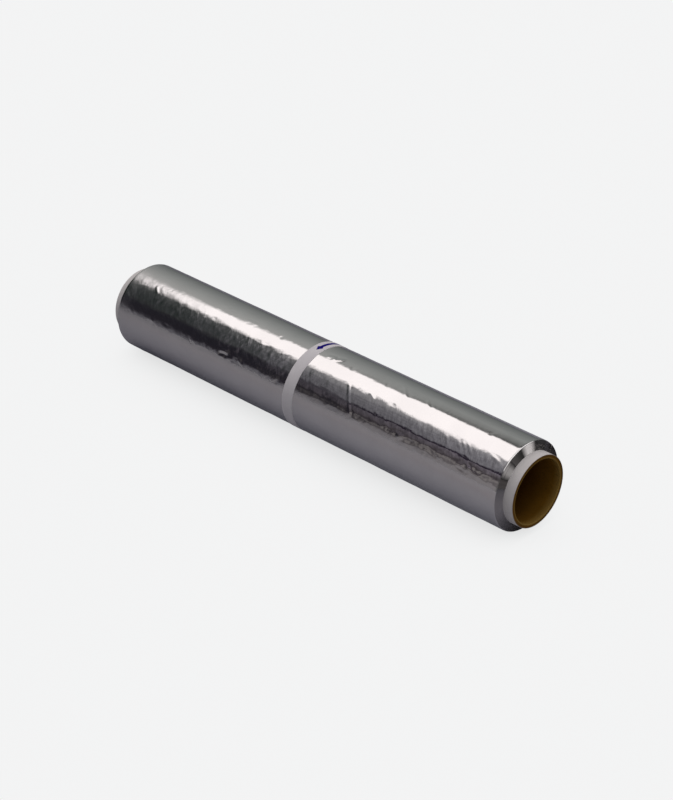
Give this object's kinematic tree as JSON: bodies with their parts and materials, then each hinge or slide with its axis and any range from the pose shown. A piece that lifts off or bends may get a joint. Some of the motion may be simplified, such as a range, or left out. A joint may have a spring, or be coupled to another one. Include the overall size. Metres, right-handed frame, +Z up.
{
  "type": "aluminium foil roll",
  "caption": "Roll of household aluminium foil wound on a card core and held closed by a paper band; the core stands out past the foil to take a dispenser's spindle.",
  "frame": {"origin": "on the surface that the roll lies on, under the middle of its length", "axes": "+X along the roll's axis, towards the end that the picture shows; +Z up; -Y is the front, towards which the foil is pulled off over the top"},
  "size_m": [0.316, 0.054, 0.0535],
  "materials": {
    "foil": "polished",
    "band_paper": "matte",
    "kraft_board": "matte",
    "white_ply": "matte"
  },
  "bodies": {
    "root": {"foil_winding": "foil", "paper_band": "band_paper", "core_tube": "kraft_board", "core_white_ply": "white_ply"}
  },
  "joints": []
}
